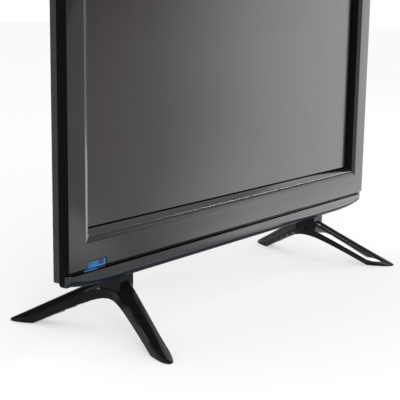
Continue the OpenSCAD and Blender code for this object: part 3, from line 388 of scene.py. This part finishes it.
def joined_group():
    """Joins the corners that faces share and drops the imported normals."""
    group, start, end = node_group("joined_corners")
    merge = group.nodes.new("GeometryNodeMergeByDistance")
    merge.inputs["Distance"].default_value = JOIN_DISTANCE
    drop = group.nodes.new("GeometryNodeRemoveAttribute")
    drop.inputs["Name"].default_value = "custom_normal"
    chain(group, start, merge, drop, end)
    return group


def smooth_group(limit):
    """Shades faces smooth across edges flatter than the limit, in degrees."""
    group, start, end = node_group("smooth_by_angle")
    faces = group.nodes.new("GeometryNodeSetShadeSmooth")
    edges = group.nodes.new("GeometryNodeSetShadeSmooth")
    edges.domain = "EDGE"
    angle = group.nodes.new("GeometryNodeInputMeshEdgeAngle")
    flat = group.nodes.new("FunctionNodeCompare")
    flat.operation = "LESS_THAN"
    flat.inputs[1].default_value = math.radians(limit)
    group.links.new(angle.outputs["Unsigned Angle"], flat.inputs[0])
    group.links.new(flat.outputs["Result"], edges.inputs["Shade Smooth"])
    chain(group, start, faces, edges, end)
    return group


def round_edges(obj, width):
    """Makes one face of flat faces with the same finish, and rounds the sharper edges."""
    flat = obj.modifiers.new("flat", "DECIMATE")
    flat.decimate_type = "DISSOLVE"
    flat.angle_limit = math.radians(FLAT_ANGLE)
    flat.delimit = {"MATERIAL"}
    rounding = obj.modifiers.new("rounding", "BEVEL")
    rounding.width = width
    rounding.segments = ROUNDED_STEPS
    rounding.limit_method = "ANGLE"
    rounding.angle_limit = math.radians(ROUNDED_ANGLE)
    rounding.use_clamp_overlap = False


joined = joined_group()
smooth = smooth_group(SMOOTH_ANGLE)
foot_smooth = smooth_group(FOOT_SMOOTH_ANGLE)
for name, obj in nodes.items():
    obj.modifiers.new("joined", "NODES").node_group = joined
    if name in ROUNDED:
        round_edges(obj, ROUNDED[name])
    obj.modifiers.new("smooth", "NODES").node_group = foot_smooth if name.endswith("foot") else smooth


# Stage: floor, light and camera

def white_rays(tree):
    """1 for the rays that should see the white background: camera, glossy and transmission."""
    path = tree.nodes.new("ShaderNodeLightPath")
    total = path.outputs["Is Camera Ray"]
    for name in ("Is Glossy Ray", "Is Transmission Ray"):
        total = math_node(tree, "MAXIMUM", total, path.outputs[name])
    return total


def make_floor():
    """Pale floor that takes shadows and is lifted towards the white of the background."""
    mesh = bpy.data.meshes.new("floor")
    corners = [(x * FLOOR_HALF, y * FLOOR_HALF, 0) for x, y in ((-1, -1), (1, -1), (1, 1), (-1, 1))]
    mesh.from_pydata(corners, [], [(0, 1, 2, 3)])
    floor = bpy.data.objects.new("floor", mesh)
    bpy.context.scene.collection.objects.link(floor)
    mat, tree, bsdf = new_material("floor_white")
    bsdf.inputs["Base Color"].default_value = FLOOR_GREY
    bsdf.inputs["Roughness"].default_value = FLOOR_ROUGH
    bsdf.inputs["Specular IOR Level"].default_value = 0.0
    glow = tree.nodes.new("ShaderNodeEmission")
    mix = tree.nodes.new("ShaderNodeMixShader")
    tree.links.new(math_node(tree, "MULTIPLY", white_rays(tree), FLOOR_LIFT), mix.inputs["Fac"])
    tree.links.new(bsdf.outputs[0], mix.inputs[1])
    tree.links.new(glow.outputs[0], mix.inputs[2])
    tree.links.new(mix.outputs[0], tree.nodes["Material Output"].inputs["Surface"])
    mesh.materials.append(mat)


def make_world():
    """White all round, but dimmer towards the front, where the room is."""
    world = bpy.data.worlds.new("studio")
    world.use_nodes = True
    tree = world.node_tree
    back = tree.nodes["Background"]
    back.inputs["Color"].default_value = (1, 1, 1, 1)
    toward = tree.nodes.new("ShaderNodeVectorMath")
    toward.operation = "DOT_PRODUCT"
    toward.inputs[1].default_value = DIM_SIDE
    tree.links.new(tree.nodes.new("ShaderNodeTexCoord").outputs["Generated"], toward.inputs[0])
    dim = math_node(tree, "MULTIPLY", ramp(tree, toward.outputs["Value"], *DIM_RANGE), DIM_SHARE)
    seen = tree.nodes.new("ShaderNodeLightPath").outputs["Is Camera Ray"]
    level = math_node(tree, "MAXIMUM", seen, math_node(tree, "SUBTRACT", 1.0, dim))
    tree.links.new(level, back.inputs["Strength"])
    bpy.context.scene.world = world


def fade_edges(lamp, fades):
    """Dims a lamp towards edges: each fade has an axis of its face, where the light is none and where full."""
    lamp.use_nodes = True
    tree = lamp.node_tree
    axes = axes_of(tree, tree.nodes.new("ShaderNodeNewGeometry").outputs["Parametric"])
    level = 1.0
    for axis, none, full in fades:
        level = math_node(tree, "MULTIPLY", ramp(tree, axes[axis], none, full), level)
    tree.links.new(level, tree.nodes["Emission"].inputs["Strength"])


def softbox(name, place, target, width, height, radiance, turn=0, fades=None):
    """Rectangular lamp whose power gives that radiance over its face, turned about its axis in degrees."""
    lamp = bpy.data.lights.new(name, "AREA")
    lamp.shape = "RECTANGLE"
    lamp.size = width
    lamp.size_y = height
    lamp.energy = radiance * width * height * math.pi
    if fades:
        fade_edges(lamp, fades)
    obj = bpy.data.objects.new(name, lamp)
    obj.location = place
    aim = (Vector(target) - Vector(place)).to_track_quat("-Z", "Y").to_matrix()
    obj.rotation_euler = (aim @ Matrix.Rotation(math.radians(turn), 3, "Z")).to_euler()
    obj.visible_camera = False
    bpy.context.scene.collection.objects.link(obj)


def make_camera():
    """The photograph's solved camera."""
    az, tilt, roll = (math.radians(v) for v in CAMERA_TURN)
    ahead = Vector((math.sin(az) * math.cos(tilt), math.cos(az) * math.cos(tilt), -math.sin(tilt)))
    right = Vector((math.cos(az), -math.sin(az), 0))
    up = right.cross(ahead)
    side = right * math.cos(roll) + up * math.sin(roll)
    top = up * math.cos(roll) - right * math.sin(roll)
    data = bpy.data.cameras.new("camera")
    data.sensor_width = CAMERA_SENSOR
    data.lens = CAMERA_LENS
    data.clip_start = CAMERA_NEAR
    cam = bpy.data.objects.new("camera", data)
    bpy.context.scene.collection.objects.link(cam)
    turn = Matrix((side, top, -ahead)).transposed().to_4x4()
    x, y, z = CAMERA_PLACE
    cam.matrix_world = Matrix.Translation((x, FRONT_Y + y, z)) @ turn
    bpy.context.scene.camera = cam


make_floor()
make_world()
# On the right a light table and a panel behind it, which the front mirrors; a small light table in front of the
# chin; then a small lamp for the glints along the edges, a soft box for the slope below the screen, and a small
# lamp for the glints on the feet
softbox("table", place=(1.192, -0.551, 0.003), target=(1.192, -0.551, 1), width=2.415, height=0.81,
        radiance=1.75, turn=34, fades=(("X", 1, 0.93), ("Y", 0.03, 0.24)))
softbox("panel", place=(2.25, -1.283, 0.35), target=(0.15, 0.15, 0.35), width=1.10, height=0.7,
        radiance=2.1, fades=(("X", 0, 0.35),))
softbox("glow", place=(0.07, -0.31, 0.003), target=(0.07, -0.31, 1), width=0.42, height=0.14,
        radiance=0.9, turn=45, fades=(("X", 0, 0.4), ("X", 1, 0.6), ("Y", 0, 0.4), ("Y", 1, 0.6)))
softbox("glint", place=(1.83, -0.58, 0.97), target=(0.1, FRONT_Y, 0.09), width=0.2, height=0.2, radiance=30)
softbox("side", place=(2.33, -0.18, 1.17), target=(0.1, FRONT_Y, 0.1), width=0.5, height=0.7, radiance=1.25)
softbox("key", place=(-0.805, -0.850, 0.612), target=(0.165, -0.05, 0.02), width=0.30, height=0.36,
        radiance=14)
make_camera()
bpy.context.scene.view_settings.view_transform = "Standard"
